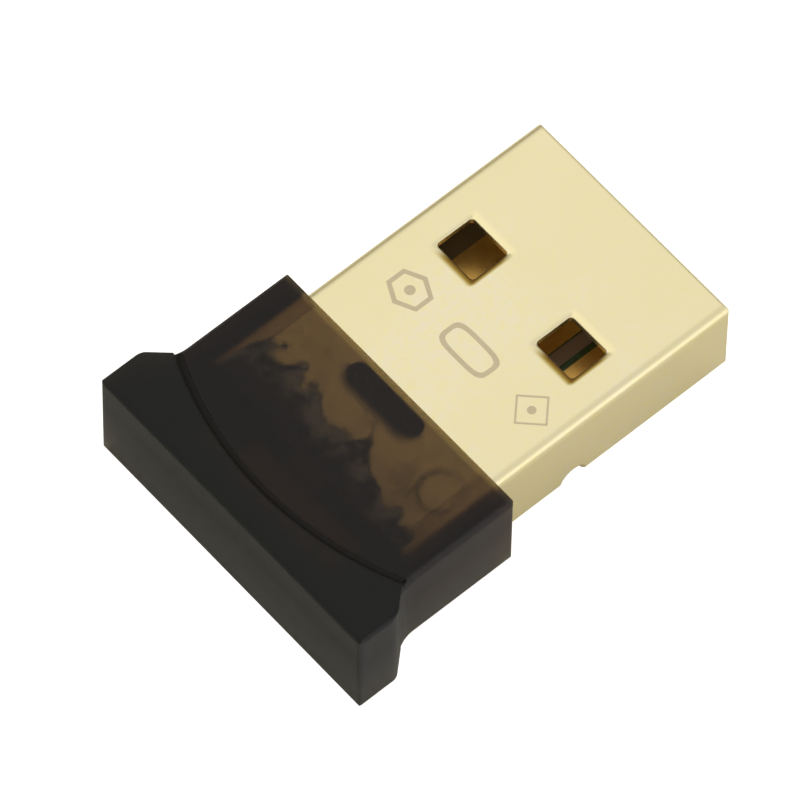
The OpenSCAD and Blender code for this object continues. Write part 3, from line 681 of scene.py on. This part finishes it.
# A pale sheet round a fold of the shell that paints in the fold's highlight, side 1 on the left and -1 on the
# right: its section's inner line is a quarter circle round the fold and then straight down, its outer line a
# quarter circle of its own radius that touches the pocket's roof and wall.
def makeFoldHighlight(name, s, material, side, corner):
    turn = np.linspace(0, math.pi / 2, s["steps"])
    middle, level, radius = s["fold"]
    wall, roof = s["wall"]
    inner = np.stack([middle + radius * np.sin(turn), level + radius * np.cos(turn)], -1)
    outer = np.stack([wall - corner * (1 - np.sin(turn)), roof - corner * (1 - np.cos(turn))], -1)
    section = [np.vstack([[[s["start"], line[0, 1]], [s["start"] + 0.02, line[0, 1]]], line,
                          [[line[-1, 0], s["foot"]]]]) for line in (inner, outer)]
    x = np.linspace(s["back"], s["front"], 12)
    lower, upper = ([np.stack([x + 0 * y, side * y + 0 * x, z + 0 * x], -1) for y, z in line] for line in section)
    points = np.concatenate([np.array(upper).reshape(-1, 3), np.array(lower).reshape(-1, 3)])
    return makePiece(name, points, slabQuads(len(upper), len(x)), material, "dark_glue")


# The painted highlight's pale finish: its edge over the shell's roof thins out to nothing.
def makeFoldHighlightFinish(s):
    material = makePlainFinish("paintedFoldHighlight", s["colour"], s["second"], (0.4, 0.6), grain=900.0)
    shade = Shade(material.node_tree)
    across = shade.maths("ABSOLUTE", shade.axes(shade.place())[1])
    shade.put(material.node_tree.nodes["Principled BSDF"], Alpha=shade.span(across, *(y * mm for y in s["thins"])))
    return material


foldHighlightFinish = makeFoldHighlightFinish(foldHighlight)
makeFoldHighlight("foldHighlightLeft", foldHighlight, foldHighlightFinish, 1, 0.45)
makeFoldHighlight("foldHighlightRight", foldHighlight, foldHighlightFinish, -1, 0.2)
print("glue made")


# Painted shade: the soft dark line at the foot of the grip's bowed edge

bow = {
    "grooveFloor": 2.482, "bodyTop": 2.6, "gripTop": 2.72,   # mm
    "width": 0.335, "dip": 0.04, "halfAngle": 0.424, "steps": 120,
    # painted shade in the groove: near black
    "colour": (0.004, 0.003, 0.002), "second": (0.006, 0.005, 0.004), "gloss": 0.17,
    "border": (0.015, 0.012, 0.008),         # lighter towards its two borders
}


def makeBowFinish(s):
    material = makePlainFinish("bowPaintedShade", s["colour"], s["second"], (0.5, 0.6), grain=6000.0, bump=0.02)
    shader = material.node_tree.nodes["Principled BSDF"]
    shader.inputs["Specular IOR Level"].default_value = s["gloss"]
    shade = Shade(material.node_tree)
    border = shade.add("ShaderNodeAttribute")
    border.attribute_name = "border"
    plain = shader.inputs["Base Color"].links[0].from_socket
    shade.put(shader, Base_Color=shade.blend(border.outputs["Fac"], plain, s["border"]))
    return material


# A profile carried along the bow's circle: its top falls from the body's top in a quarter wave and rises to the
# grip's, its foot is flat on the groove's floor. Side is 1 above and -1 below.
def makeBowFillet(name, s, material, side):
    t = np.linspace(0, 1, 13)
    top = s["bodyTop"] - s["dip"] * np.sin(math.pi * t) + (s["gripTop"] - s["bodyTop"]) * t ** 3
    reach = smoke["bowRadius"] - s["width"] * (1 - t) - 0.003
    radius = np.concatenate([reach, reach[::-1]])[:, None]
    height = np.concatenate([top, np.full_like(t, s["grooveFloor"])])[:, None] * side
    angle = np.linspace(-s["halfAngle"], s["halfAngle"], s["steps"])[None, :]
    points = np.stack([smoke["bowCentre"] - radius * np.cos(angle), radius * np.sin(angle),
                       height + 0 * angle], -1).reshape(-1, 3)
    rows, columns = len(radius), s["steps"]
    ends = np.arange(rows * columns).reshape(rows, columns)
    half = len(t)
    caps = [np.stack([line[:half - 1], line[1:half], line[::-1][1:half], line[::-1][:half - 1]], -1)
            for line in (ends[:, 0], ends[::-1, -1])]
    quads = np.vstack([gridQuads(rows, columns, loopRows=True), *caps])
    border = np.concatenate([2 * t - 1, 2 * t[::-1] - 1]) ** 2
    return makePiece(name, points, quads, material, "smoky_plastic", border=np.repeat(border, columns))


bowFinish = makeBowFinish(bow)
makeBowFillet("bowFilletTop", bow, bowFinish, 1)
makeBowFillet("bowFilletUnder", bow, bowFinish, -1)
print("bow fillets made")


# Plain etched marks on the plug's roof

marks = {
    "roof": 2.25, "rise": 0.004,       # mm
    "outlines": [              # name, corners, centre X and Y, half height, half width, turn in degrees, line
        ("hexagonMark", 6, 3.4, 3.3, 0.95, 1.1, 0, 0.24),
        ("pillMark", 0, 3.38, -0.45, 0.72, 1.4, 0, 0.22),
        ("diamondMark", 4, 3.45, -4.25, 0.98, 0.98, 0, 0.13),
    ],
    "dots": [("hexagonDot", 3.4, 3.3, 0.24), ("diamondDot", 3.45, -4.25, 0.2)],
}


# Half the way across an outline at each angle: a regular polygon's edge, or a superellipse for no corners.
def outlineReach(angle, corners, rise, run):
    if corners:
        part = 2 * math.pi / corners
        reach = math.cos(part / 2) / np.cos(np.mod(angle, part) - part / 2)
        return reach * np.cos(angle) * rise, reach * np.sin(angle) * run
    power = 0.5
    return (rise * np.sign(np.cos(angle)) * np.abs(np.cos(angle)) ** power,
            run * np.sign(np.sin(angle)) * np.abs(np.sin(angle)) ** power)


# A line's four-sided profile is carried round the outline: inside and outside edges, low and high.
def makeRing(name, s, corners, x, y, rise, run, turn, line):
    angle = np.linspace(0, 2 * math.pi, 241)[:-1] + math.radians(turn)
    rings = []
    for inset, height in ((0, 0), (0, 1), (1, 1), (1, 0)):
        across, along = outlineReach(angle, corners, rise - inset * line, run - inset * line)
        rings.append(np.stack([x + across, y + along, s["roof"] + s["rise"] * (height - 0.2) + 0 * across], -1))
    points = np.array(rings).reshape(-1, 3)
    quads = gridQuads(4, len(angle), loopRows=True, loopColumns=True)
    return makePiece(name, points, quads, finishes["etchedMark"], "gilt_steel", smooth=False)


# A dot: rings of one centre, from the rim's foot over its top edge to the middle.
def makeDot(name, s, x, y, radius):
    angle = np.linspace(0, 2 * math.pi, 33)[:-1]
    reach = np.array([0.02, 1, 1, 0.02])[:, None] * radius
    height = np.array([-0.2, -0.2, 0.8, 0.8])[:, None] * s["rise"]
    points = np.stack([x + reach * np.cos(angle), y + reach * np.sin(angle),
                       s["roof"] + height + 0 * angle], -1).reshape(-1, 3)
    quads = gridQuads(4, len(angle), loopRows=True, loopColumns=True)
    return makePiece(name, points, quads, finishes["etchedMark"], "gilt_steel", smooth=False)


for entry in marks["outlines"]:
    makeRing(entry[0], marks, *entry[1:])
for entry in marks["dots"]:
    makeDot(entry[0], marks, *entry[1:])
print("marks made")
